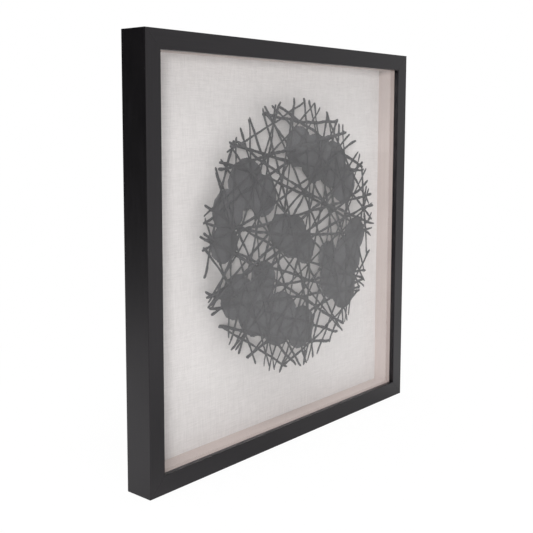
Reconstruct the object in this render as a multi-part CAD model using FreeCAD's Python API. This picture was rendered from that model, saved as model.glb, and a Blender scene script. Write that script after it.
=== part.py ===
import FreeCAD
import Part
import math
import os
import random

# A square shadow-box frame with glass, cream spacer walls and a linen-covered
# back. A round lattice of grey paper strips and solid paper patches floats in
# front of the linen on foam posts.
# Millimetres. X is to the right, Y runs from the front face to the wall, Z is
# up. The origin is under the middle of the bottom rail, at half its depth.

# Frame moulding, an L in section
frame_side = 610.0
moulding_wall = 20.0
rabbet = 6.0
lip_depth = 8.0
arris_radius = 1.0
mitre_line = 0.2

# What the rabbet holds, from the lip backwards
glass_thick = 2.0
glass_gap = 0.5
spacer_depth = 31.5
spacer_setback = 0.5
cloth_thick = 0.4
board_thick = 2.6
board_gap = 0.5
cloth_turn_in = 25.0
fold_slit = 0.4
fold_stop = 3.0
point_thick = 0.5
back_recess = 0.6

# Framer's points, flat steel tabs pushed into the moulding behind the board
point_width = 6.0
point_show = 9.0
point_grip = 6.0
points_per_rail = 4

# Angled steel wedges that hold each mitre, driven in from the back
wedge_leg = 5.0
wedge_thick = 0.6
wedge_depth = 7.0
wedge_outer = 5.0
wedge_inner = 14.0

# Paper disc
linen_margin = 78.0
disc_right = 15.0
disc_up = 12.0
paper_to_glass = 3.0
patch_thick = 1.2

# Paper strips, laid one on another across the disc
strip_width = 3.8
strip_thick = 0.3
overshoot_least = 5.0
overshoot_most = 14.0
tip_length = 1.8

# How the strips are spread, in shares of the disc's radius where it matters
strip_count = 66
tip_share = 0.55
rim_share = 0.95
straight_share = 0.35
bow_least = 0.015
bow_most = 0.035
width_jitter = 0.2
place_jitter = 0.02
first_turn = 0.1
plan_seed = 6
# Strips of one layer keep this far apart, tested a little beyond the rim
lane_share = 0.034
lane_reach = 0.065
lane_steps = 6
# Steps of a sequence that spreads directions and offsets evenly together
spread_ratio = 1.32471795724

# Square foam posts behind the patches
post_side = 9.0
post_least_lobe = 0.16

# Sawtooth hangers on the top rail
hanger_length = 46.0
hanger_width = 12.0
hanger_thick = 1.0
hanger_rise = 1.6
hanger_foot = 9.0
hanger_slope = 3.0
hanger_from_side = 130.0
tooth_pitch = 3.0
tooth_depth = 2.0
nail_side = 1.3
nail_clearance = 0.15
nail_length = 10.0
nail_head_radius = 2.0
nail_head_height = 0.9

# Rubber bumpers on the bottom corners of the back
bumper_radius = 5.0
bumper_height = 2.8
bumper_from_side = 30.0

# Worked out from the sizes above
face_width = moulding_wall + rabbet
glass_depth = lip_depth
spacer_start = glass_depth + glass_thick
linen_depth = spacer_start + spacer_depth
board_depth = linen_depth + cloth_thick
turn_in_depth = board_depth + board_thick
point_depth = turn_in_depth + cloth_thick
frame_depth = point_depth + point_thick + back_recess
front = -frame_depth / 2
half = frame_side / 2
rabbet_half = half - moulding_wall
disc_radius = half - face_width - linen_margin
disc_centre = (disc_right, half + disc_up)

# Lobes of each patch: place and radius as shares of the disc's radius
patch_lobes = {
    "upper": ((0.04, 0.69, 0.16), (0.25, 0.60, 0.19), (0.47, 0.54, 0.19), (0.63, 0.38, 0.16)),
    "left": ((-0.76, 0.25, 0.16), (-0.57, 0.43, 0.19), (-0.38, 0.33, 0.15), (-0.80, 0.02, 0.14)),
    "middle": ((-0.19, 0.06, 0.13), (-0.03, 0.00, 0.17), (0.12, -0.11, 0.12)),
    "lower": ((-0.67, -0.38, 0.17), (-0.45, -0.50, 0.21), (-0.19, -0.62, 0.21),
              (0.07, -0.73, 0.17), (-0.38, -0.29, 0.14)),
    "right": ((0.80, -0.06, 0.14), (0.70, -0.24, 0.19), (0.51, -0.38, 0.19),
              (0.65, -0.51, 0.16), (0.42, -0.20, 0.12)),
}


def vec(x, depth, z):
    """A point at a depth behind the frame's front face."""
    return FreeCAD.Vector(x, front + depth, z)


def slab(x_low, x_high, depth_low, depth_high, z_low, z_high):
    """A box between two depths."""
    size = (x_high - x_low, depth_high - depth_low, z_high - z_low)
    return Part.makeBox(*size, vec(x_low, depth_low, z_low))


def prism(points, depth, length):
    """A flat outline in X and Z, pushed back from a depth by a length."""
    corners = [vec(x, depth, z) for x, z in points]
    face = Part.Face(Part.makePolygon(corners + corners[:1]))
    return face.extrude(FreeCAD.Vector(0, length, 0))


def turned(shape, quarter_turns):
    """A copy turned about the middle of the frame, seen from the front."""
    copy = shape.copy()
    copy.rotate(FreeCAD.Vector(0, 0, half), FreeCAD.Vector(0, 1, 0), 90.0 * quarter_turns)
    return copy


def peg(radius, length, x, depth, z):
    """A cylinder that starts at a depth and runs towards the wall."""
    return Part.makeCylinder(radius, length, vec(x, depth, z), FreeCAD.Vector(0, 1, 0))


def moulding_face():
    """Section of the moulding on the bottom rail, with its long edges eased."""
    x = -half
    ease = arris_radius
    inner = ease * (1 - math.sqrt(0.5))

    def at(depth, z):
        return vec(x, depth, z)

    def line(start, end):
        return Part.LineSegment(at(*start), at(*end)).toShape()

    def arc(start, middle, end):
        return Part.Arc(at(*start), at(*middle), at(*end)).toShape()

    top = face_width
    back = frame_depth
    edges = [
        line((0, ease), (0, top - ease)),
        arc((0, top - ease), (inner, top - inner), (ease, top)),
        line((ease, top), (lip_depth, top)),
        line((lip_depth, top), (lip_depth, moulding_wall)),
        line((lip_depth, moulding_wall), (back, moulding_wall)),
        line((back, moulding_wall), (back, ease)),
        arc((back, ease), (back - inner, inner), (back - ease, 0)),
        line((back - ease, 0), (ease, 0)),
        arc((ease, 0), (inner, inner), (0, ease)),
    ]
    return Part.Face(Part.Wire(edges))


def corner_wedges():
    """Angled wedges, two at each corner, their own corners on the mitre."""
    wedges = []
    for place in (wedge_outer, wedge_inner):
        near = place
        far = place + wedge_leg
        thick = place + wedge_thick
        steps = ((near, near), (far, near), (far, thick), (thick, thick), (thick, far), (near, far))
        outline = [(-half + along, up) for along, up in steps]
        wedge = prism(outline, frame_depth - wedge_depth, wedge_depth)
        wedges += [turned(wedge, turn) for turn in range(4)]
    return Part.makeCompound(wedges)


def framer_points():
    """Flat tabs, half in the moulding and half over the back of the board."""
    tabs = []
    spacing = 2 * rabbet_half / points_per_rail
    for number in range(points_per_rail):
        x = -rabbet_half + spacing * (number + 0.5)
        tab = slab(x - point_width / 2, x + point_width / 2, point_depth,
                   point_depth + point_thick, moulding_wall - point_grip,
                   moulding_wall + point_show)
        tabs += [turned(tab, turn) for turn in range(4)]
    return Part.makeCompound(tabs)


def hanger_places():
    """Middle of each hanger on the back of the top rail."""
    z = frame_side - moulding_wall / 2
    return [(side * (half - hanger_from_side), z) for side in (-1, 1)]


def nail_places(x, z):
    """The two nails of a hanger, in the middle of its feet."""
    reach = hanger_length / 2 - hanger_foot / 2
    return [(x - reach, z), (x + reach, z)]


def sawtooth_hanger(x, z):
    """A pressed strip with flat feet, a raised middle and a toothed lower edge."""
    foot = hanger_length / 2 - hanger_foot
    flat = foot - hanger_slope
    low = frame_depth
    high = frame_depth + hanger_rise
    path = [(-hanger_length / 2, low), (-foot, low), (-flat, high), (flat, high),
            (foot, low), (hanger_length / 2, low)]
    outline = path + [(u, depth + hanger_thick) for u, depth in reversed(path)]
    corners = [vec(x + u, depth, z - hanger_width / 2) for u, depth in outline]
    face = Part.Face(Part.makePolygon(corners + corners[:1]))
    plate = face.extrude(FreeCAD.Vector(0, 0, hanger_width))
    teeth = int(2 * flat / tooth_pitch)
    start = x - teeth * tooth_pitch / 2
    edge = z - hanger_width / 2
    notches = []
    for number in range(teeth):
        left = start + number * tooth_pitch
        notch = [(left, edge), (left + tooth_pitch, edge), (left + tooth_pitch / 2, edge + tooth_depth)]
        notches.append(prism(notch, high, hanger_thick))
    hole_radius = nail_side / math.sqrt(2) + nail_clearance
    holes = [peg(hole_radius, hanger_thick, u, low, w) for u, w in nail_places(x, z)]
    return plate.cut(Part.makeCompound(notches + holes))


def hanger_nail(x, z):
    """A square-shanked pin with a flat round head, driven through a hanger into the rail."""
    seat = frame_depth + hanger_thick
    reach = nail_side / 2
    shank = slab(x - reach, x + reach, seat - nail_length, seat, z - reach, z + reach)
    head = peg(nail_head_radius, nail_head_height, x, seat, z)
    return shank.fuse(head)


def mitre_grooves():
    """A fine groove along each mitre on the face, where two rails meet."""
    across = FreeCAD.Vector(1, 0, -1).normalize() * mitre_line
    deep = FreeCAD.Vector(0, mitre_line, 0)
    corner = vec(-half, 0, 0)
    points = [corner - deep - across * 2, corner - deep + across * 2, corner + deep]
    section = Part.Face(Part.makePolygon(points + points[:1]))
    groove = section.extrude(FreeCAD.Vector(face_width, 0, face_width))
    return [turned(groove, turn) for turn in range(4)]


def frame_rails(wedges, points, nails):
    """Four mitred rails, slotted for the wedges and tabs and bored for the nails."""
    length = moulding_face().extrude(FreeCAD.Vector(frame_side, 0, 0))
    between_mitres = prism([(-half, 0), (half, 0), (0, half)], 0, frame_depth)
    bottom = length.common(between_mitres)
    slots = Part.makeCompound([wedges, points, nails] + mitre_grooves())
    names = ("bottom", "left", "top", "right")
    return {f"frame_{name}_rail": turned(bottom, turn).cut(slots).Solids[0]
            for turn, name in enumerate(names)}


def glass_pane():
    """Pane behind the lip, with its fitting gap all round."""
    reach = rabbet_half - glass_gap
    return slab(-reach, reach, glass_depth, spacer_start, half - reach, half + reach)


def spacer_walls():
    """Four strips that hold the glass off the linen, the side ones between the others."""
    thick = rabbet - spacer_setback
    outer = rabbet_half
    inner = rabbet_half - thick
    walls = {
        "bottom": (-outer, outer, half - outer, half - inner),
        "top": (-outer, outer, half + inner, half + outer),
        "left": (-outer, -inner, half - inner, half + inner),
        "right": (inner, outer, half - inner, half + inner),
    }
    return {f"spacer_{name}": slab(x_low, x_high, spacer_start, linen_depth, z_low, z_high)
            for name, (x_low, x_high, z_low, z_high) in walls.items()}


def backing_board():
    """Board that the linen is stretched over."""
    reach = rabbet_half - board_gap - cloth_thick
    return slab(-reach, reach, board_depth, turn_in_depth, half - reach, half + reach)


def linen_cover(board):
    """Linen over the board's front and edges, turned in behind with mitred corners."""
    reach = rabbet_half - board_gap
    wrap = slab(-reach, reach, linen_depth, point_depth, half - reach, half + reach)
    bare = reach - cloth_turn_in
    window = slab(-bare, bare, turn_in_depth, point_depth, half - bare, half + bare)
    across = fold_slit / 2
    into_window = math.hypot(cloth_turn_in, cloth_turn_in) + fold_slit
    fold = slab(-across, across, turn_in_depth, point_depth, fold_stop, into_window)
    fold.rotate(FreeCAD.Vector(0, 0, 0), FreeCAD.Vector(0, 1, 0), 45.0)
    fold.translate(FreeCAD.Vector(-reach, 0, half - reach))
    folds = [turned(fold, turn) for turn in range(4)]
    return wrap.cut(Part.makeCompound([board, window] + folds))


def lobe_disc(lobe):
    """Middle and radius of a lobe in millimetres."""
    share_x, share_z, share_radius = lobe
    x = disc_centre[0] + share_x * disc_radius
    z = disc_centre[1] + share_z * disc_radius
    return x, z, share_radius * disc_radius


def paper_patch(lobes):
    """A solid paper patch: round lobes run together."""
    rounds = []
    for lobe in lobes:
        x, z, radius = lobe_disc(lobe)
        rounds.append(peg(radius, patch_thick, x, patch_front, z))
    return rounds[0].multiFuse(rounds[1:]).removeSplitter()


def foam_posts():
    """Foam posts from the linen to the back of each patch's larger lobes."""
    posts = []
    reach = post_side / 2
    for lobes in patch_lobes.values():
        for lobe in lobes:
            if lobe[2] >= post_least_lobe:
                x, z, _ = lobe_disc(lobe)
                posts.append(slab(x - reach, x + reach, patch_back, linen_depth, z - reach, z + reach))
    return Part.makeCompound(posts)


def strip_plan():
    """Every strip's turn, offset, half chord and bow in shares of the disc, overshoots and width."""
    draw = random.Random(plan_seed)
    strips = []
    for number in range(strip_count):
        turn_share = (first_turn + number / spread_ratio) % 1 + draw.uniform(-place_jitter, place_jitter)
        offset_share = (0.5 + number / spread_ratio ** 2) % 1
        offset_share = 2 * offset_share - 1 + draw.uniform(-place_jitter, place_jitter)
        offset = rim_share * max(-1.0, min(1.0, offset_share))
        chord = math.sqrt(1 - offset ** 2)
        bow = 0.0
        if draw.random() > straight_share:
            bow = 2 * chord * draw.uniform(bow_least, bow_most) * draw.choice((-1, 1))
        before = draw.uniform(overshoot_least, overshoot_most)
        after = draw.uniform(overshoot_least, overshoot_most)
        width = strip_width * (1 + draw.uniform(-width_jitter, width_jitter))
        strips.append((math.pi * turn_share, offset, chord, bow, before, after, width))
    return strips


def strip_lane(strip):
    """Points along a strip's middle line, in shares of the disc about its middle."""
    turn, offset, chord, bow = strip[:4]
    along = complex(math.cos(turn), math.sin(turn))
    reach = chord + lane_reach
    places = [2 * step / lane_steps - 1 for step in range(lane_steps + 1)]
    return [along * complex(place * reach, offset + bow * (1 - place ** 2)) for place in places]


def distance_to_run(point, start, end):
    """Distance from a point to the straight run between two others."""
    run = end - start
    share = ((point - start) * run.conjugate()).real / abs(run) ** 2
    return abs(point - start - run * max(0.0, min(1.0, share)))


def side_of(point, start, end):
    """Positive where a point is to the left of a run, negative to the right."""
    return ((end - start).conjugate() * (point - start)).imag


def runs_meet(a, b, c, d):
    """Whether the runs a to b and c to d cross or come closer than a lane."""
    if side_of(c, a, b) * side_of(d, a, b) < 0 and side_of(a, c, d) * side_of(b, c, d) < 0:
        return True
    gaps = (distance_to_run(a, c, d), distance_to_run(b, c, d),
            distance_to_run(c, a, b), distance_to_run(d, a, b))
    return min(gaps) < lane_share


def lanes_meet(one, other):
    """Whether two strips cross or come too close to lie in one layer."""
    return any(runs_meet(a, b, c, d) for a, b in zip(one, one[1:]) for c, d in zip(other, other[1:]))


def layered(strips):
    """Each strip in the first layer where it meets none, so it lies on the layer before."""
    layers = []
    for strip in strips:
        lane = strip_lane(strip)
        for layer in layers:
            if not any(lanes_meet(lane, other) for other in layer.values()):
                layer[strip] = lane
                break
        else:
            layers.append({strip: lane})
    return [list(layer) for layer in layers]


def paper_strip(strip, depth):
    """A straight or shallowly bowed strip with blunt tapered tips."""
    turn, offset, chord, bow, before, after, width = strip
    along = FreeCAD.Vector(math.cos(turn), 0, math.sin(turn))
    side = FreeCAD.Vector(-math.sin(turn), 0, math.cos(turn))
    middle = vec(disc_centre[0], depth, disc_centre[1]) + side * (offset * disc_radius)
    crest_height = bow * disc_radius
    reach = chord * disc_radius
    start = reach + before
    end = reach + after
    half_width = width / 2
    lean = math.atan2(4 * crest_height, start + end)
    first = middle - along * (start - tip_length)
    last = middle + along * (end - tip_length)
    crest = (first + last) * 0.5 + side * crest_height
    first_side = side * math.cos(lean) - along * math.sin(lean)
    last_side = side * math.cos(lean) + along * math.sin(lean)
    first_tip = first - (along * math.cos(lean) + side * math.sin(lean)) * tip_length
    last_tip = last + (along * math.cos(lean) - side * math.sin(lean)) * tip_length
    tip = half_width * tip_share

    def edge(sign):
        points = [first + first_side * (sign * half_width), crest + side * (sign * half_width),
                  last + last_side * (sign * half_width)]
        if bow:
            return points, Part.Arc(*points).toShape()
        return points, Part.LineSegment(points[0], points[2]).toShape()

    upper, upper_edge = edge(1)
    lower, lower_edge = edge(-1)
    last_end = [upper[2], last_tip + last_side * tip, last_tip - last_side * tip, lower[2]]
    first_end = [lower[0], first_tip - first_side * tip, first_tip + first_side * tip, upper[0]]
    edges = [upper_edge, lower_edge]
    edges += Part.makePolygon(last_end).Edges + Part.makePolygon(first_end).Edges
    outline = Part.Wire(Part.sortEdges(edges)[0])
    return Part.Face(outline).extrude(FreeCAD.Vector(0, strip_thick, 0))


def strip_layers():
    """Each layer's strips as a group. The first layer lies on the patches."""
    nodes = {}
    for number, layer in enumerate(layers, 1):
        depth = patch_front - number * strip_thick
        strips = [paper_strip(strip, depth) for strip in layer]
        nodes[f"strip_layer_{number:02d}"] = Part.makeCompound(strips)
    return nodes


def wall_bumper(x, z):
    """A low round rubber pad on the back of the frame."""
    return peg(bumper_radius, bumper_height, x, frame_depth, z)


# How deep the stack of strips and patches reaches
layers = layered(strip_plan())
patch_front = spacer_start + paper_to_glass + len(layers) * strip_thick
patch_back = patch_front + patch_thick


def build():
    """Every node's shape, by name."""
    wedges = corner_wedges()
    points = framer_points()
    nails = Part.makeCompound([hanger_nail(*place) for middle in hanger_places()
                               for place in nail_places(*middle)])
    board = backing_board()
    nodes = frame_rails(wedges, points, nails)
    nodes["corner_wedges"] = wedges
    nodes["glass_pane"] = glass_pane()
    nodes.update(spacer_walls())
    nodes["backing_board"] = board
    nodes["linen_cover"] = linen_cover(board)
    nodes["framer_points"] = points
    for name, lobes in patch_lobes.items():
        nodes[f"paper_patch_{name}"] = paper_patch(lobes)
    nodes.update(strip_layers())
    nodes["foam_posts"] = foam_posts()
    for side, (x, z) in zip(("left", "right"), hanger_places()):
        nodes[f"hanger_{side}"] = sawtooth_hanger(x, z)
    nodes["hanger_nails"] = nails
    for side, sign in (("left", -1), ("right", 1)):
        nodes[f"bumper_{side}"] = wall_bumper(sign * (half - bumper_from_side), moulding_wall / 2)
    return nodes


os.makedirs("parts", exist_ok=True)
for node_name, node_shape in build().items():
    node_shape.exportStep(f"parts/{node_name}.step")
    print(node_name, len(node_shape.Solids), "solids, valid", node_shape.isValid(),
          "volume", round(node_shape.Volume, 1))
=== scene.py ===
import math
import random

import bmesh
import bpy
import numpy as np
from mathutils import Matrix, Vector, geometry


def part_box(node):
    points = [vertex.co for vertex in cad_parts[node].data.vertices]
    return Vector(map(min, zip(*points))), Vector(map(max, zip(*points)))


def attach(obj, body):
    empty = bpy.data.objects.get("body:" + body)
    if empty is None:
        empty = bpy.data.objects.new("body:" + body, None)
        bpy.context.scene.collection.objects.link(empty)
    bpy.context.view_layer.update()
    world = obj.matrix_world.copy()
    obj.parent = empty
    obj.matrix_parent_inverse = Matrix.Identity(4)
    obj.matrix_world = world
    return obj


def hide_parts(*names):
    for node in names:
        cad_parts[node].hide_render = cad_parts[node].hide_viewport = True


# A black shadow-box frame with glass, cream walls and a linen back, and a round
# lattice of grey handmade paper strips and patches that floats before the linen.
# Metres, in the frame of the CAD model: X right, Y towards the wall, Z up.

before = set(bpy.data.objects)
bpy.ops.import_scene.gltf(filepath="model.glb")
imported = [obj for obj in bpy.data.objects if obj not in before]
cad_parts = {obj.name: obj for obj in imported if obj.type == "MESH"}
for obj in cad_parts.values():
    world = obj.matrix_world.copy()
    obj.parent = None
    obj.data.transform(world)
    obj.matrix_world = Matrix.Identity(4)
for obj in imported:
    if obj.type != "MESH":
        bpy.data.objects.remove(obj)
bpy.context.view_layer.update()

MM = 0.001

# Camera: place in metres and turns in radians, found from the photo's perspective
IMAGE_SIDE = 533
FOCAL_PIXELS = 872.3
SENSOR_MM = 36.0
CAMERA_PLACE = (-1.0387, -0.8498, 0.4909)
CAMERA_TURN = 0.8621
CAMERA_DIP = 0.1060
CAMERA_ROLL = -0.0025
HORIZON_RISE_PIXELS = 50.0

# Studio: the light of the sky from its foot to near its top
SKY_SIDE = 0.10
SKY_TOP = 0.95
SKY_TOP_FROM = 0.9

# Panels that gloss mirrors, and where one blends into the next, as shares of a direction
FRONT_PANEL = 0.75
RIGHT_PANEL = 0.66
BACK_PANEL = 0.02
FRONT_TO_BACK = (-0.75, 0.25)
AHEAD_TO_RIGHT = (0.25, 0.8)

# Floor, and how brightly it glows to gloss at distances from the object: a painted reflection of the
# floor, darker near the object's foot as a painted shadow
FLOOR_REACH = 12.0
FLOOR_WHITE = 0.9
FLOOR_GLOSS = 0.9
SHADOW_NEAR = 0.94
SHADOW_FADE = (0.35, 0.8)
FLOOR_LEFT = 0.90
FLOOR_FOOT_PAINTED_SHADOW = 0.52
FLOOR_STEP = 0.88
FLOOR_RIGHT = 0.85
LEFT_TO_FAR = (0.9, 1.9)
FOOT_TO_STEP = (0.25, 0.42)
STEP_TO_RIGHT = (0.42, 0.9)
RIGHT_TO_FAR = (1.2, 5.0)
LEFT_TO_RIGHT = (-0.5, -0.1)

LAMP_DISTANCE = 7.0
LAMP_AIM = 0.3

# Paper strips: their section, and the rings along them
STRIP_THICK = 0.8 * MM
STRIP_SHARE = 1.06
RING_STEP = 3.0 * MM
SECTION_POINTS = 8
SECTION_ACROSS = 0.55
SECTION_THROUGH = 0.8

# A solid's corners are the same point where they agree to this many digits of a metre
SAME_DIGITS = 6

# A strip's width is measured within this share of its reach or, where that leaves fewer
# points than this, as far as a little short of its tips
WIDTH_WITHIN = 0.9
WIDTH_POINTS = 4
WIDTH_TIP_GAP = 1.0 * MM

# How uneven a strip is: the shortest and longest wave along it, and the size
WANDER_TERMS = 5
WANDER_WEIGHTS = (0.5, 1.0)
WIDTH_WAVES = (9 * MM, 60 * MM)
WIDTH_SWELL = 0.10
FRAY_WAVES = (3 * MM, 7 * MM)
FRAY = 0.05
THICK_WAVES = (8 * MM, 40 * MM)
THICK_SWELL = 0.12
SWAY_WAVES = (45 * MM, 160 * MM)
SWAY = 0.55 * MM
DEPTH_WAVES = (25 * MM, 90 * MM)
DEPTH_SWAY = 0.16 * MM
TWIST_WAVES = (60 * MM, 200 * MM)
TWIST = 0.10

# Strip tips: blunt, curled forwards or back, and hooked to a side
TIP_LENGTH = 2.5 * MM
TIP_WIDTH = 0.62
TIP_THICK = 0.5
CURL_LENGTH = 14 * MM
CURL = (-1.2, 1.4)
HOOK = 1.6 * MM

# Paper patches: thickness, mesh and rounded edge
PATCH_THICK = 1.2 * MM
OUTLINE_STEP = 0.8 * MM
SHEET_STEP = 2.4 * MM
SHEET_JITTER = 0.3
EDGE_ROUND = 0.8 * MM
EDGE_SHELVES = (0.3, 0.8)
EDGE_CLEAR = 1.5
EDGE_SPAN = 2
SAME_PLACE = 1e-7

# A patch's front is every face that turns this far to the front
FRONT_TURN = -0.9

# A patch's torn edge: shortest and longest wave and size, in millimetres, of each set of waves
TORN_WAVES = (((14, 30), 0.8), ((5, 9), 0.45), ((1.8, 3.2), 0.18))
WAVES_PER_SET = 4
WAVES_TOGETHER = 2.8
TORN_SPAN = 3

# A patch's uneven face
FACE_WAVES = 8
FACE_SHORTEST = 14 * MM
FACE_LONGEST = 60 * MM
FACE_SWELL = 0.05 * MM

# Linen
CLOTH_THICK = 0.4 * MM
CLOTH_TURN_IN = 25.0 * MM
CLOTH_CELLS = 110
FOLD_GAP = 0.5 * MM
THREAD_PITCH = 0.75 * MM

# A colour mix node's sockets: share, first and second colour, and the result
MIX_SHARE = 0
MIX_FIRST = 6
MIX_SECOND = 7
MIX_RESULT = 2


class Nodes:
    """A node tree, with short ways to add and join nodes."""

    def __init__(self, tree):
        self.tree = tree

    def add(self, kind, **inputs):
        """A new node. Inputs are numbers, colours or the sockets that feed them."""
        node = self.tree.nodes.new(kind)
        for name, value in inputs.items():
            self.feed(node.inputs[name.replace("_", " ")], value)
        return node

    def feed(self, socket, value):
        """Joins a socket to another, or sets its own value."""
        if isinstance(value, bpy.types.NodeSocket):
            self.tree.links.new(value, socket)
        else:
            socket.default_value = value

    def math(self, operation, first, second=0.0, third=0.0):
        """The result of a sum, a product or the like."""
        node = self.tree.nodes.new("ShaderNodeMath")
        node.operation = operation
        for socket, value in zip(node.inputs, (first, second, third)):
            self.feed(socket, value)
        return node.outputs[0]

    def spread(self, value, low, high, to_low=0.0, to_high=1.0, smooth=False):
        """value from low..high to to_low..to_high, and no further."""
        node = self.add("ShaderNodeMapRange", Value=value, From_Min=low, From_Max=high,
                        To_Min=to_low, To_Max=to_high)
        node.interpolation_type = "SMOOTHSTEP" if smooth else "LINEAR"
        return node.outputs[0]

    def seen(self, path):
        """1 for what is seen by itself or through the glass, and 0 for light and gloss."""
        return self.math("MAXIMUM", path.outputs["Is Camera Ray"], path.outputs["Is Transmission Ray"])

    def mirrored(self, back, aside):
        """The panel that gloss mirrors, from a direction's shares towards the back and the right."""
        ahead = self.spread(back, *FRONT_TO_BACK, FRONT_PANEL, BACK_PANEL, smooth=True)
        return self.spread(aside, *AHEAD_TO_RIGHT, ahead, RIGHT_PANEL, smooth=True)


class Shader(Nodes):
    """A material's node tree, with its textures and its Principled shader."""

    def __init__(self, name):
        self.material = bpy.data.materials.new(name)
        self.material.use_nodes = True
        super().__init__(self.material.node_tree)
        self.surface = self.tree.nodes["Principled BSDF"]
        self.output = self.tree.nodes["Material Output"]
        self.place = self.add("ShaderNodeTexCoord").outputs["Object"]

    def noise(self, scale, stretch=(1, 1, 1), detail=3.0, roughness=0.5, turn=(0, 0, 0), shift=(0, 0, 0)):
        """Noise from 0 to 1, with features of about 1 / (scale * stretch) metres."""
        mapping = self.add("ShaderNodeMapping", Vector=self.place, Scale=stretch,
                           Rotation=turn, Location=shift)
        node = self.add("ShaderNodeTexNoise", Vector=mapping.outputs[0], Scale=scale,
                        Detail=detail, Roughness=roughness)
        return node.outputs["Fac"]

    def mix(self, share, first, second):
        """first where share is 0 and second where it is 1."""
        node = self.tree.nodes.new("ShaderNodeMix")
        node.data_type = "RGBA"
        self.feed(node.inputs[MIX_SHARE], share)
        self.feed(node.inputs[MIX_FIRST], first)
        self.feed(node.inputs[MIX_SECOND], second)
        return node.outputs[MIX_RESULT]

    def bump(self, height, distance, strength):
        """The surface's normal, made uneven by a height of 0 to 1 times a distance."""
        return self.add("ShaderNodeBump", Height=height, Distance=distance, Strength=strength).outputs[0]

    def finish(self, **inputs):
        """Feeds the Principled shader and gives the material."""
        for name, value in inputs.items():
            self.feed(self.surface.inputs[name.replace("_", " ")], value)
        return self.material

    def show(self, share, other):
        """Shows another shader in place of the Principled one, by a share."""
        both = self.add("ShaderNodeMixShader")
        self.feed(both.inputs[0], share)
        self.feed(both.inputs[1], self.surface.outputs[0])
        self.feed(both.inputs[2], other.outputs[0])
        self.feed(self.output.inputs["Surface"], both.outputs[0])


def rgb(red, green, blue):
    """A colour with full cover."""
    return (red, green, blue, 1.0)


def frame_material(name, along):
    """Satin black lacquer over wood, its faint grain along the rail."""
    m = Shader(name)
    stretch = (0.04, 1, 1) if along == "X" else (1, 1, 0.04)
    grain = m.noise(420.0, stretch, detail=4.0, roughness=0.6)
    cloud = m.noise(14.0, detail=2.0)
    tone = m.mix(m.spread(grain, 0.35, 0.7), rgb(0.0030, 0.0027, 0.0032), rgb(0.0058, 0.0053, 0.0061))
    rough = m.math("ADD", m.spread(cloud, 0.3, 0.7, 0.31, 0.37), m.spread(grain, 0.3, 0.7, -0.02, 0.03))
    normal = m.bump(grain, 0.00004, 0.6)
    return m.finish(Base_Color=tone, Roughness=rough, Normal=normal, Specular_Tint=rgb(1.0, 0.95, 1.0))


def glass_material():
    """Clear picture glass. Lamps shine through it to the linen behind."""
    m = Shader("picture_glass")
    path = m.add("ShaderNodeLightPath")
    open_to_light = m.math("MAXIMUM", path.outputs["Is Shadow Ray"], path.outputs["Is Diffuse Ray"])
    m.show(open_to_light, m.add("ShaderNodeBsdfTransparent"))
    return m.finish(Base_Color=rgb(1, 1, 1), Roughness=0.0, IOR=1.5, Transmission_Weight=1.0)


def linen_material():
    """Undyed linen: fine plain weave with thicker slubs both ways."""
    m = Shader("natural_linen")
    weft = m.noise(1.0, (60, 30, 900), detail=1.0, roughness=0.5)
    warp = m.noise(1.0, (900, 30, 60), detail=1.0, roughness=0.5, shift=(3.1, 0, 0))
    slub_weft = m.spread(m.noise(1.0, (40, 30, 560), detail=1.0, shift=(0, 0, 7.3)), 0.60, 0.80)
    slub_warp = m.spread(m.noise(1.0, (540, 30, 36), detail=1.0, shift=(5.7, 0, 0)), 0.60, 0.80)
    threads = m.math("MULTIPLY_ADD", weft, 0.5, m.math("MULTIPLY", warp, 0.5))
    slubs = m.math("MAXIMUM", slub_weft, slub_warp)
    base = m.mix(m.spread(threads, 0.34, 0.66), rgb(0.555, 0.530, 0.522), rgb(0.650, 0.622, 0.613))
    tone = m.mix(m.math("MULTIPLY", slubs, 0.30), base, rgb(0.70, 0.674, 0.664))
    pitch = 2 * math.pi / THREAD_PITCH
    split = m.add("ShaderNodeSeparateXYZ", Vector=m.place)
    across = m.math("SINE", m.math("MULTIPLY", split.outputs["X"], pitch))
    down = m.math("SINE", m.math("MULTIPLY", split.outputs["Z"], pitch))
    weave = m.math("MULTIPLY", across, down)
    height = m.math("ADD", m.math("MULTIPLY", weave, 0.4), m.math("ADD", threads, slubs))
    normal = m.bump(height, 0.00010, 0.6)
    return m.finish(Base_Color=tone, Roughness=0.9, Normal=normal, Sheen_Weight=0.15, Sheen_Roughness=0.5)


def paper_material(name, dark, pale):
    """Heavy handmade paper: mottled, with matted fibres and a dry surface."""
    m = Shader(name)
    mottle = m.noise(90.0, detail=4.0, roughness=0.62)
    cloud = m.noise(18.0, detail=2.0)
    fibre_one = m.noise(1.0, (260, 400, 1500), detail=2.0, turn=(0, 0.5, 0))
    fibre_two = m.noise(1.0, (1500, 400, 240), detail=2.0, turn=(0, 0.25, 0), shift=(2, 0, 5))
    fibres = m.math("MAXIMUM", fibre_one, fibre_two)
    share = m.math("ADD", m.math("MULTIPLY", m.spread(mottle, 0.3, 0.7), 0.5),
                   m.math("MULTIPLY", m.spread(cloud, 0.3, 0.7), 0.5))
    tone = m.mix(share, dark, pale)
    tone = m.mix(m.spread(fibres, 0.66, 0.80, 0.0, 0.30), tone, rgb(0.16, 0.16, 0.165))
    height = m.math("ADD", m.math("MULTIPLY", mottle, 1.2), fibres)
    normal = m.bump(height, 0.00025, 0.8)
    return m.finish(Base_Color=tone, Roughness=0.93, Normal=normal)


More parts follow.
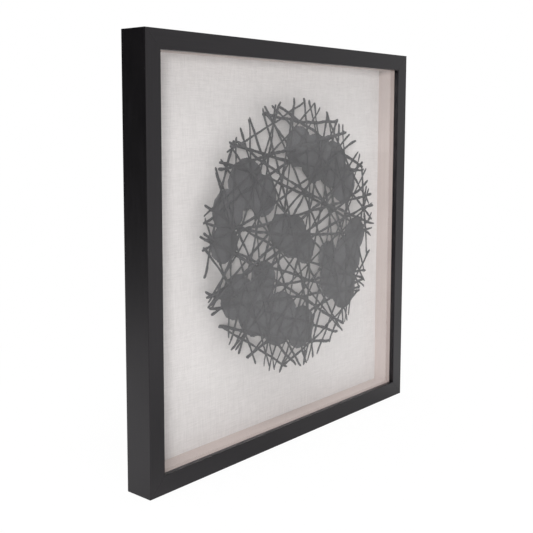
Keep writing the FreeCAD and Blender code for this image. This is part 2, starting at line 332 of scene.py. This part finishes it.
def spacer_material():
    """Cream mount board with a fine paper tooth."""
    m = Shader("cream_board")
    tooth = m.noise(900.0, detail=2.0)
    cloud = m.noise(9.0, detail=2.0)
    streak = m.noise(1.0, (500, 500, 12), detail=2.0)
    share = m.math("ADD", m.math("MULTIPLY", cloud, 0.5), m.math("MULTIPLY", streak, 0.5))
    tone = m.mix(m.spread(share, 0.35, 0.65), rgb(0.420, 0.354, 0.334), rgb(0.470, 0.402, 0.380))
    return m.finish(Base_Color=tone, Roughness=0.88, Normal=m.bump(tooth, 0.00006, 0.7))


def board_material():
    """Brown pressed board, seen from behind."""
    m = Shader("brown_board")
    fleck = m.noise(1.0, (700, 700, 240), detail=3.0, roughness=0.7)
    cloud = m.noise(7.0, detail=3.0)
    tone = m.mix(m.spread(fleck, 0.35, 0.68), rgb(0.255, 0.165, 0.092), rgb(0.375, 0.262, 0.160))
    tone = m.mix(m.spread(cloud, 0.35, 0.75, 0.0, 0.35), tone, rgb(0.30, 0.20, 0.115))
    return m.finish(Base_Color=tone, Roughness=0.86, Normal=m.bump(fleck, 0.0001, 0.6))


def foam_material():
    """White closed-cell foam."""
    m = Shader("white_foam")
    cells = m.add("ShaderNodeTexVoronoi", Vector=m.place, Scale=1400.0).outputs["Distance"]
    tone = m.mix(cells, rgb(0.80, 0.79, 0.77), rgb(0.88, 0.875, 0.86))
    return m.finish(Base_Color=tone, Roughness=0.8, Normal=m.bump(cells, 0.0001, 0.5))


def steel_material():
    """Bright zinc-plated sheet steel, a little scuffed."""
    m = Shader("plated_steel")
    scuff = m.noise(1.0, (260, 260, 1700), detail=3.0, roughness=0.7)
    cloud = m.noise(120.0, detail=3.0)
    tone = m.mix(m.spread(cloud, 0.3, 0.7), rgb(0.50, 0.49, 0.47), rgb(0.64, 0.63, 0.60))
    rough = m.math("ADD", m.spread(cloud, 0.3, 0.7, 0.26, 0.38), m.spread(scuff, 0.4, 0.7, 0.0, 0.12))
    return m.finish(Base_Color=tone, Metallic=1.0, Roughness=rough, Normal=m.bump(scuff, 0.00003, 0.5))


def rubber_material():
    """Soft black rubber with a dusty bloom."""
    m = Shader("black_rubber")
    bloom = m.noise(260.0, detail=4.0, roughness=0.65)
    tone = m.mix(m.spread(bloom, 0.35, 0.75), rgb(0.022, 0.022, 0.022), rgb(0.045, 0.044, 0.043))
    return m.finish(Base_Color=tone, Roughness=0.75, Normal=m.bump(bloom, 0.00008, 0.5))


def new_piece(name, mesh, material, nodes):
    """An object that stands for CAD nodes and rides with them."""
    piece = bpy.data.objects.new(name, mesh)
    bpy.context.scene.collection.objects.link(piece)
    mesh.materials.append(material)
    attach(piece, "root")
    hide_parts(*nodes)
    return piece


def dress(material, *nodes):
    """Gives CAD nodes that keep their shape a material."""
    for node in nodes:
        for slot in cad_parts[node].material_slots:
            slot.material = material


def wander(draw, places, waves, size):
    """A smooth random line at places along a length, of waves from the shortest to the longest."""
    terms = []
    for _ in range(WANDER_TERMS):
        wave = math.exp(draw.uniform(math.log(waves[0]), math.log(waves[1])))
        terms.append((2 * math.pi / wave, draw.uniform(0, 2 * math.pi), draw.uniform(*WANDER_WEIGHTS)))
    scale = size / math.sqrt(sum(weight ** 2 for _, _, weight in terms) / 2)
    return sum(weight * np.sin(rate * places + phase) for rate, phase, weight in terms) * scale


def loose_outlines(node):
    """The corner points, in X and Z, of each separate solid in a node's mesh, and its depths."""
    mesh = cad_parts[node].data
    corners = [tuple(round(value, SAME_DIGITS) for value in vertex.co) for vertex in mesh.vertices]
    links = {corner: set() for corner in corners}
    for edge in mesh.edges:
        a, b = (corners[i] for i in edge.vertices)
        links[a].add(b)
        links[b].add(a)
    unseen = set(links)
    while unseen:
        group, waiting = [], [min(unseen)]
        unseen.discard(waiting[0])
        while waiting:
            corner = waiting.pop()
            group.append(corner)
            fresh = sorted(links[corner] & unseen)
            unseen.difference_update(fresh)
            waiting += fresh
        points = np.array(group)
        yield points[:, (0, 2)], points[:, 1].min(), points[:, 1].max()


def strip_line(points):
    """A strip's middle, direction, side, half length, bow as a quadratic, and width."""
    middle = points.mean(axis=0)
    along = np.linalg.svd(points - middle, full_matrices=False)[2][0]
    side = np.array((-along[1], along[0]))
    place = (points - middle) @ along
    middle = middle + along * (place.max() + place.min()) / 2
    place = (points - middle) @ along
    offset = (points - middle) @ side
    curve = np.polyfit(place, offset, 2)
    inner = np.abs(place) < place.max() * WIDTH_WITHIN
    if inner.sum() < WIDTH_POINTS:
        inner = np.abs(place) < place.max() - WIDTH_TIP_GAP
    width = 2 * np.abs(offset - np.polyval(curve, place))[inner].mean()
    return middle, along, side, place.max(), curve, width


def turned_section(half, thick, twist):
    """Each ring's points, across the strip and inward: a flat section with softened sides, twisted."""
    angles = np.arange(SECTION_POINTS) * 2 * math.pi / SECTION_POINTS
    across = np.sign(np.cos(angles)) * np.abs(np.cos(angles)) ** SECTION_ACROSS
    through = np.sign(np.sin(angles)) * np.abs(np.sin(angles)) ** SECTION_THROUGH
    wide = half[:, None] * across
    deep = thick[:, None] * through
    plane = wide * np.cos(twist)[:, None] - deep * np.sin(twist)[:, None]
    inward = wide * np.sin(twist)[:, None] + deep * np.cos(twist)[:, None]
    return plane, inward


def ribbon(points, front, back, draw):
    """Rings of points along one strip, uneven in width and depth, with blunt torn tips."""
    middle, along, side, reach, curve, width = strip_line(points)
    count = int(2 * reach / RING_STEP) + 1
    place = np.linspace(-reach, reach, count)
    swell = wander(draw, place, WIDTH_WAVES, WIDTH_SWELL)
    fray = wander(draw, place, FRAY_WAVES, FRAY)
    blunt = np.sqrt(np.clip((reach - np.abs(place)) / TIP_LENGTH, 0, 1))
    half = STRIP_SHARE * width / 2 * (1 + swell + fray) * (TIP_WIDTH + (1 - TIP_WIDTH) * blunt)
    swell = wander(draw, place, THICK_WAVES, THICK_SWELL)
    thick = STRIP_THICK / 2 * (1 + swell) * (TIP_THICK + (1 - TIP_THICK) * blunt)
    sway = np.polyval(curve, place) + wander(draw, place, SWAY_WAVES, SWAY)
    depth = (front + back) / 2 + wander(draw, place, DEPTH_WAVES, DEPTH_SWAY)
    lift = np.clip((np.abs(place) - reach + CURL_LENGTH) / CURL_LENGTH, 0, 1) ** 2
    curl = np.where(place < 0, draw.uniform(*CURL), draw.uniform(*CURL)) * MM
    depth = depth + lift * curl
    hook = np.where(place < 0, draw.uniform(-1, 1), draw.uniform(-1, 1)) * HOOK
    sway = sway + lift * hook
    plane, inward = turned_section(half, thick, wander(draw, place, TWIST_WAVES, TWIST))
    flat = middle + place[:, None, None] * along + (sway[:, None] + plane)[..., None] * side
    return np.stack((flat[..., 0], depth[:, None] + inward, flat[..., 1]), axis=-1)


def tube_faces(rings, start):
    """Quads between rings, numbered from a first vertex, and a cap at each end."""
    size = SECTION_POINTS
    faces = []
    for ring in range(rings - 1):
        low = start + ring * size
        for i in range(size):
            j = (i + 1) % size
            faces.append((low + i, low + j, low + size + j, low + size + i))
    faces.append(tuple(start + i for i in reversed(range(size))))
    last = start + (rings - 1) * size
    faces.append(tuple(last + i for i in range(size)))
    return faces


def strip_piece(node, material):
    """One layer of paper strips as separate ribbons."""
    draw = random.Random(node)
    vertices, faces = [], []
    for points, front, back in loose_outlines(node):
        rings = ribbon(points, front, back, draw)
        faces += tube_faces(len(rings), len(vertices))
        vertices += [tuple(point) for ring in rings for point in ring]
    mesh = bpy.data.meshes.new(node)
    mesh.from_pydata(vertices, [], faces)
    outward(mesh)
    new_piece(node.replace("strip_layer", "paper_strips"), mesh, material, [node])


def outward(mesh):
    """Turns every face outwards and shades it smooth."""
    bm = bmesh.new()
    bm.from_mesh(mesh)
    bmesh.ops.recalc_face_normals(bm, faces=bm.faces)
    for face in bm.faces:
        face.smooth = True
    bm.to_mesh(mesh)
    bm.free()


def outline_loop(node):
    """The outline of a flat node as one ordered loop in X and Z, with its front depth."""
    bm = bmesh.new()
    bm.from_mesh(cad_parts[node].data)
    bm.normal_update()
    front = {face for face in bm.faces if face.normal.y < FRONT_TURN}
    rim = [edge for edge in bm.edges if sum(face in front for face in edge.link_faces) == 1]
    links = {}
    for edge in rim:
        a, b = edge.verts
        links.setdefault(a, []).append(b)
        links.setdefault(b, []).append(a)
    start = min(links, key=lambda v: (v.co.x, v.co.z))
    loop, before, here = [start], None, start
    while True:
        after = next(v for v in links[here] if v is not before)
        if after is start:
            break
        loop.append(after)
        before, here = here, after
    points = np.array([(v.co.x, v.co.z) for v in loop])
    depth = start.co.y
    bm.free()
    return points, depth


def loop_normals(loop, span):
    """Unit normals along a closed loop, from the points that lie a span ahead and behind."""
    ahead = np.roll(loop, -span, axis=0) - np.roll(loop, span, axis=0)
    return np.stack((ahead[:, 1], -ahead[:, 0]), axis=1) / np.linalg.norm(ahead, axis=1)[:, None]


def ragged(points, draw):
    """A loop resampled evenly and pushed in and out like a torn paper edge."""
    closed = np.vstack((points, points[:1]))
    steps = np.linalg.norm(np.diff(closed, axis=0), axis=1)
    along = np.concatenate(([0], np.cumsum(steps)))
    total = along[-1]
    count = int(total / OUTLINE_STEP)
    place = np.arange(count) * total / count
    loop = np.stack([np.interp(place, along, closed[:, i]) for i in (0, 1)], axis=1)
    push = np.zeros(count)
    for waves, size in TORN_WAVES:
        for _ in range(WAVES_PER_SET):
            turns = max(1, round(total / (draw.uniform(*waves) * MM)))
            phase = draw.uniform(0, 2 * math.pi)
            push += size / WAVES_TOGETHER * MM * np.sin(2 * math.pi * turns * place / total + phase)
    return loop + loop_normals(loop, TORN_SPAN) * push[:, None]


def nearest(points, loop):
    """Each point's distance to the nearest point of a loop."""
    return np.sqrt(((points[:, None] - loop[None]) ** 2).sum(axis=-1)).min(axis=1)


def shelf_loops(loop):
    """Loops a little inside an outline, for the points of its rounded edge."""
    after = np.roll(loop, -1, axis=0)
    area = (loop[:, 0] * after[:, 1] - loop[:, 1] * after[:, 0]).sum()
    inward = -loop_normals(loop, EDGE_SPAN) * (1 if area > 0 else -1)
    return [loop + inward * EDGE_ROUND * share for share in EDGE_SHELVES]


def strewn_points(loop, draw):
    """Points strewn evenly over a loop and the box round it, clear of the rounded edge."""
    low, high = loop.min(axis=0), loop.max(axis=0)
    columns = np.arange(low[0], high[0], SHEET_STEP)
    rows = np.arange(low[1], high[1], SHEET_STEP)
    grid = np.stack(np.meshgrid(columns, rows), axis=-1).reshape(-1, 2)
    jitter = [[draw.uniform(-SHEET_JITTER, SHEET_JITTER) for _ in "xz"] for _ in grid]
    grid += np.array(jitter) * SHEET_STEP
    return grid[nearest(grid, loop) > EDGE_CLEAR * EDGE_ROUND]


def face_swell(flat, draw):
    """How far each point of a patch rises or sinks, from waves that run all ways."""
    swell = np.zeros(len(flat))
    for _ in range(FACE_WAVES):
        turn = draw.uniform(0, 2 * math.pi)
        rate = 2 * math.pi / draw.uniform(FACE_SHORTEST, FACE_LONGEST)
        lean = flat @ np.array((math.cos(turn), math.sin(turn)))
        swell += FACE_SWELL * np.sin(rate * lean + draw.uniform(0, 2 * math.pi))
    return swell


def two_sided(name, sides, faces, edge):
    """A mesh of the same faces in front and behind, closed where points lie on the edge."""
    total = len(edge)
    twin = [i if edge[i] else i + total for i in range(total)]
    faces = [tuple(face) for face in faces if not all(edge[i] for i in face)]
    both = faces + [tuple(twin[i] for i in reversed(face)) for face in faces]
    mesh = bpy.data.meshes.new(name)
    mesh.from_pydata([tuple(p) for p in np.vstack(sides)], [], both)
    bm = bmesh.new()
    bm.from_mesh(mesh)
    bmesh.ops.delete(bm, geom=[v for v in bm.verts if not v.link_faces], context="VERTS")
    bm.to_mesh(mesh)
    bm.free()
    return mesh


def patch_piece(node, material):
    """A solid paper patch with a torn rounded edge and a slightly uneven face."""
    draw = random.Random(node)
    points, front = outline_loop(node)
    loop = ragged(points, draw)
    grid = strewn_points(loop, draw)
    places = [Vector(p) for p in np.vstack([loop] + shelf_loops(loop) + [grid])]
    count = len(loop)
    edges = [(i, (i + 1) % count) for i in range(count)]
    places, _, faces = geometry.delaunay_2d_cdt(places, edges, [], 1, SAME_PLACE)[:3]
    flat = np.array([tuple(p) for p in places])
    distance = nearest(flat, loop)
    rise = PATCH_THICK / 2 * np.sqrt(1 - (1 - np.clip(distance / EDGE_ROUND, 0, 1)) ** 2)
    swell = face_swell(flat, draw)
    middle = front + PATCH_THICK / 2
    sides = [np.stack((flat[:, 0], middle + sign * rise + swell, flat[:, 1]), axis=1) for sign in (-1, 1)]
    mesh = two_sided(node, sides, faces, distance < SAME_PLACE)
    outward(mesh)
    new_piece(node, mesh, material, [node])


def turn_in(bm, rim, middle, back):
    """Brings the cloth from a rim over the board's edge and in behind it, mitred at both ends."""
    inward = middle - Vector(((rim[0].co.x + rim[-1].co.x) / 2, 0, (rim[0].co.z + rim[-1].co.z) / 2))
    inward.normalize()
    along = (rim[-1].co - rim[0].co).normalized()
    length = (rim[-1].co - rim[0].co).length
    behind, hems = [], []
    for vertex in rim:
        share = (vertex.co - rim[0].co).length / length
        corner = rim[0].co + along * (FOLD_GAP + (length - 2 * FOLD_GAP) * share)
        corner.y = back
        inner = rim[0].co + along * (CLOTH_TURN_IN + (length - 2 * CLOTH_TURN_IN) * share)
        inner = inner + inward * CLOTH_TURN_IN
        inner.y = back
        behind.append(bm.verts.new(corner))
        hems.append(bm.verts.new(inner))
    for i in range(len(rim) - 1):
        bm.faces.new((rim[i + 1], rim[i], behind[i], behind[i + 1]))
        bm.faces.new((behind[i + 1], behind[i], hems[i], hems[i + 1]))


def linen_piece(material):
    """Linen over the board: a front sheet, wrapped edges and mitred turn-ins behind."""
    low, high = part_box("linen_cover")
    bm = bmesh.new()
    cells = CLOTH_CELLS
    xs = [low[0] + (high[0] - low[0]) * i / cells for i in range(cells + 1)]
    zs = [low[2] + (high[2] - low[2]) * i / cells for i in range(cells + 1)]
    front = [[bm.verts.new((x, low[1], z)) for x in xs] for z in zs]
    for j in range(cells):
        for i in range(cells):
            bm.faces.new((front[j][i], front[j][i + 1], front[j + 1][i + 1], front[j + 1][i]))
    rims = [
        [front[0][i] for i in range(cells + 1)],
        [front[j][cells] for j in range(cells + 1)],
        [front[cells][i] for i in reversed(range(cells + 1))],
        [front[j][0] for j in reversed(range(cells + 1))],
    ]
    middle = Vector(((low[0] + high[0]) / 2, 0, (low[2] + high[2]) / 2))
    for rim in rims:
        turn_in(bm, rim, middle, high[1])
    bmesh.ops.recalc_face_normals(bm, faces=bm.faces)
    mesh = bpy.data.meshes.new("linen_cloth")
    bm.to_mesh(mesh)
    bm.free()
    piece = new_piece("linen_cloth", mesh, material, ["linen_cover"])
    thicken = piece.modifiers.new("cloth", "SOLIDIFY")
    thicken.thickness = CLOTH_THICK
    thicken.offset = -1.0


def photo_camera():
    """The camera of the photo, from the left. Its shift brings the uprights nearer to parallel."""
    data = bpy.data.cameras.new("camera")
    data.sensor_width = SENSOR_MM
    data.lens = FOCAL_PIXELS / IMAGE_SIDE * SENSOR_MM
    data.shift_y = -HORIZON_RISE_PIXELS / IMAGE_SIDE
    camera = bpy.data.objects.new("camera", data)
    camera.location = CAMERA_PLACE
    camera.rotation_euler = (math.pi / 2 - CAMERA_DIP, CAMERA_ROLL, -CAMERA_TURN)
    bpy.context.scene.collection.objects.link(camera)
    bpy.context.scene.camera = camera


def studio_world():
    """A white studio: white where it is seen, a soft even light, and panels that gloss shows."""
    world = bpy.data.worlds.new("studio")
    bpy.context.scene.world = world
    world.use_nodes = True
    w = Nodes(world.node_tree)
    path = w.add("ShaderNodeLightPath")
    way = w.add("ShaderNodeTexCoord").outputs["Generated"]
    right, back, up = w.add("ShaderNodeSeparateXYZ", Vector=way).outputs
    seen = w.seen(path)
    sky = w.spread(up, 0.0, SKY_TOP_FROM, SKY_SIDE, SKY_TOP, smooth=True)
    plain = w.spread(seen, 0.0, 1.0, sky, 1.0)
    glossy = w.math("MULTIPLY", path.outputs["Is Glossy Ray"], w.math("SUBTRACT", 1.0, seen))
    level = w.spread(glossy, 0.0, 1.0, plain, w.mirrored(back, right))
    background = w.tree.nodes["Background"]
    w.feed(background.inputs["Color"], rgb(1, 1, 1))
    w.feed(background.inputs["Strength"], level)


def pale_floor():
    """A wide white floor that shows as white and still takes a faint shadow. To gloss it glows at set
    levels, a painted reflection, darker near the object's foot as a painted shadow.
    """
    side = FLOOR_REACH
    mesh = bpy.data.meshes.new("floor")
    corners = [(-side, -side, 0), (side, -side, 0), (side, side, 0), (-side, side, 0)]
    mesh.from_pydata(corners, [], [(0, 1, 2, 3)])
    floor = bpy.data.objects.new("floor", mesh)
    bpy.context.scene.collection.objects.link(floor)
    m = Shader("white_floor")
    m.finish(Base_Color=rgb(FLOOR_WHITE, FLOOR_WHITE, FLOOR_WHITE), Roughness=0.9)
    path = m.add("ShaderNodeLightPath")
    measure = m.tree.nodes.new("ShaderNodeVectorMath")
    measure.operation = "LENGTH"
    m.feed(measure.inputs[0], m.place)
    away = measure.outputs["Value"]
    split = m.add("ShaderNodeSeparateXYZ", Vector=m.place)
    back = m.math("DIVIDE", split.outputs["Y"], away)
    aside = m.math("DIVIDE", split.outputs["X"], away)
    far = m.mirrored(back, aside)
    left = m.spread(away, *LEFT_TO_FAR, FLOOR_LEFT, far)
    # Painted shadow, seen only in gloss: the floor glows darker at the object's foot and brighter further
    # out
    painted_foot_shadow = m.spread(away, *FOOT_TO_STEP, FLOOR_FOOT_PAINTED_SHADOW, FLOOR_STEP)
    near = m.spread(away, *STEP_TO_RIGHT, painted_foot_shadow, FLOOR_RIGHT)
    right = m.spread(away, *RIGHT_TO_FAR, near, far)
    panel = m.spread(split.outputs["X"], *LEFT_TO_RIGHT, left, right)
    gloss = path.outputs["Is Glossy Ray"]
    glow = m.add("ShaderNodeEmission", Color=rgb(1, 1, 1), Strength=m.spread(gloss, 0.0, 1.0, 1.0, panel))
    white = m.math("MULTIPLY", m.seen(path), m.spread(away, *SHADOW_FADE, SHADOW_NEAR, 1.0))
    m.show(m.math("MAXIMUM", white, m.math("MULTIPLY", gloss, FLOOR_GLOSS)), glow)
    mesh.materials.append(m.material)


def soft_lamp(name, left, up, side, watts):
    """A square soft box, so many degrees left of the front and up, that the glass doesn't mirror."""
    data = bpy.data.lights.new(name, "AREA")
    data.size = side
    data.energy = watts
    turn = math.radians(left)
    climb = math.radians(up)
    way = Vector((-math.cos(climb) * math.sin(turn), -math.cos(climb) * math.cos(turn), math.sin(climb)))
    lamp = bpy.data.objects.new(name, data)
    lamp.location = Vector((0, 0, LAMP_AIM)) + way * LAMP_DISTANCE
    lamp.rotation_euler = way.to_track_quat("Z", "Y").to_euler()
    lamp.visible_glossy = False
    lamp.visible_transmission = False
    bpy.context.scene.collection.objects.link(lamp)


photo_camera()
bpy.context.scene.view_settings.view_transform = "Standard"
studio_world()
pale_floor()
soft_lamp("key_lamp", left=51, up=8, side=1.2, watts=264.0)
soft_lamp("high_lamp", left=50, up=66, side=3.2, watts=260.0)

dress(frame_material("black_frame_across", "X"), "frame_top_rail", "frame_bottom_rail")
dress(frame_material("black_frame_upright", "Z"), "frame_left_rail", "frame_right_rail")
dress(glass_material(), "glass_pane")
dress(spacer_material(), "spacer_top", "spacer_bottom", "spacer_left", "spacer_right")
dress(board_material(), "backing_board")
dress(foam_material(), "foam_posts")
dress(steel_material(), "framer_points", "corner_wedges", "hanger_left", "hanger_right", "hanger_nails")
dress(rubber_material(), "bumper_left", "bumper_right")

linen_piece(linen_material())
patch_paper = paper_material("patch_paper", rgb(0.034, 0.033, 0.036), rgb(0.079, 0.077, 0.083))
# The strips are the same paper as the patches, painted darker: painted shade standing in for the shade on
# their thin sides
strip_paper_painted_shade = paper_material("strip_paper_painted_shade", rgb(0.024, 0.0235, 0.026), rgb(0.043, 0.042, 0.046))
for name in sorted(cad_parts):
    if name.startswith("paper_patch"):
        patch_piece(name, patch_paper)
    if name.startswith("strip_layer"):
        strip_piece(name, strip_paper_painted_shade)
